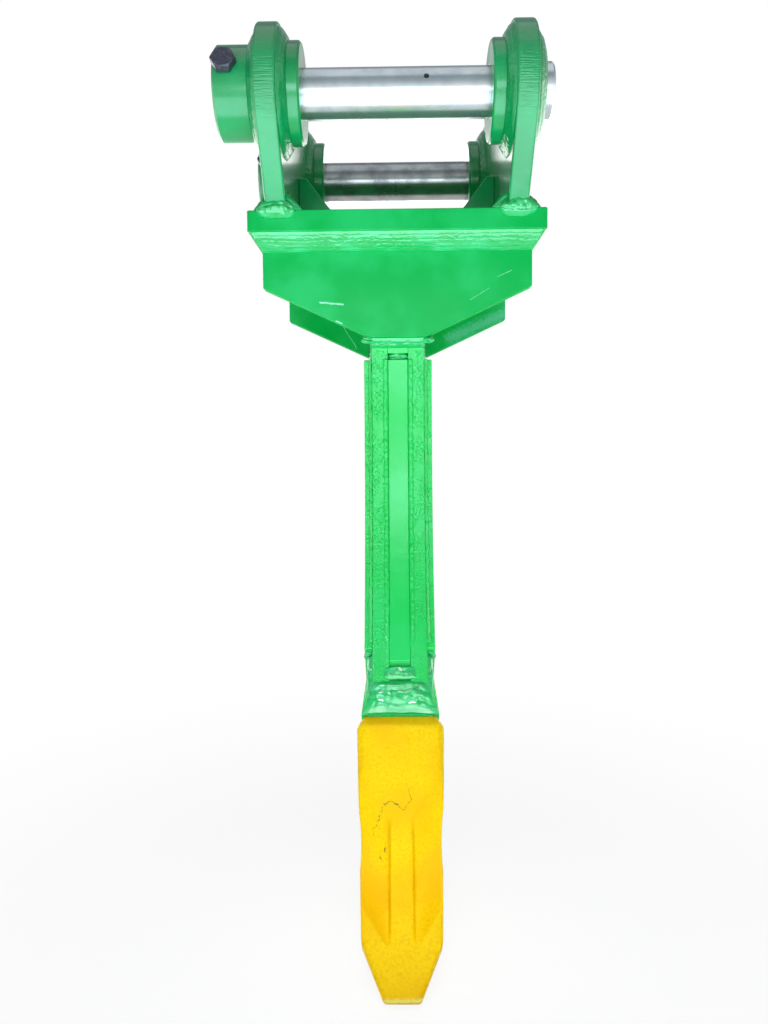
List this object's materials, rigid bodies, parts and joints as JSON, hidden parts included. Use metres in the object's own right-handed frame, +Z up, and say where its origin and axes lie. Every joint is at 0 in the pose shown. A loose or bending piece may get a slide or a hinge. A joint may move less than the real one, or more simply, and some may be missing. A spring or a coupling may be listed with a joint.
{
  "type": "excavator ripper",
  "caption": "Pin-on excavator ripper: a welded head with pins across its ears, a curved laminated shank and a replaceable cast chisel tooth.",
  "frame": {"origin": "middle of the front pin, which holds the ripper on the dipper", "axes": "+X along the pins toward their heads, +Y from the digging side to the rear, +Z up, with the tooth below"},
  "size_m": [0.308, 0.5025, 0.8256],
  "materials": {
    "green_paint": "gloss",
    "tooth_paint": "satin",
    "pin_steel": "bright",
    "bolt_steel": "dark"
  },
  "bodies": {
    "root": {"ear_left": "green_paint", "ear_right": "green_paint", "ear_rib_left": "green_paint", "ear_rib_right": "green_paint", "boss_front_left": "green_paint", "boss_front_right": "green_paint", "boss_rear_left": "green_paint", "boss_rear_right": "green_paint", "front_pin": "pin_steel", "rear_pin": "pin_steel", "front_pin_bolt": "bolt_steel", "rear_pin_bolt": "bolt_steel", "front_pin_nut": "bolt_steel", "rear_pin_nut": "bolt_steel", "front_grease_nipple": "pin_steel", "rear_grease_nipple": "pin_steel", "top_plate": "green_paint", "front_gusset": "green_paint", "rear_gusset": "green_paint", "shank_side_plate_left": "green_paint", "shank_side_plate_right": "green_paint", "shank_centre_plate": "green_paint", "shank_spacer": "green_paint", "shank_doubler_left": "green_paint", "shank_doubler_right": "green_paint", "tooth_adapter": "green_paint", "tooth": "tooth_paint", "tooth_pin": "pin_steel", "tooth_pin_lock": "bolt_steel", "ear_weld_left": "green_paint", "ear_weld_right": "green_paint", "boss_weld_front_left": "green_paint", "boss_weld_front_right": "green_paint", "boss_weld_rear_left": "green_paint", "boss_weld_rear_right": "green_paint", "gusset_weld_front": "green_paint", "gusset_weld_rear": "green_paint", "shank_weld_front": "green_paint", "shank_weld_rear": "green_paint", "shank_weld_top": "green_paint", "shank_seam_weld_left": "green_paint", "shank_seam_weld_right": "green_paint", "doubler_weld_left": "green_paint", "doubler_weld_right": "green_paint", "centre_plate_weld": "green_paint", "adapter_weld": "green_paint"}
  },
  "joints": []
}
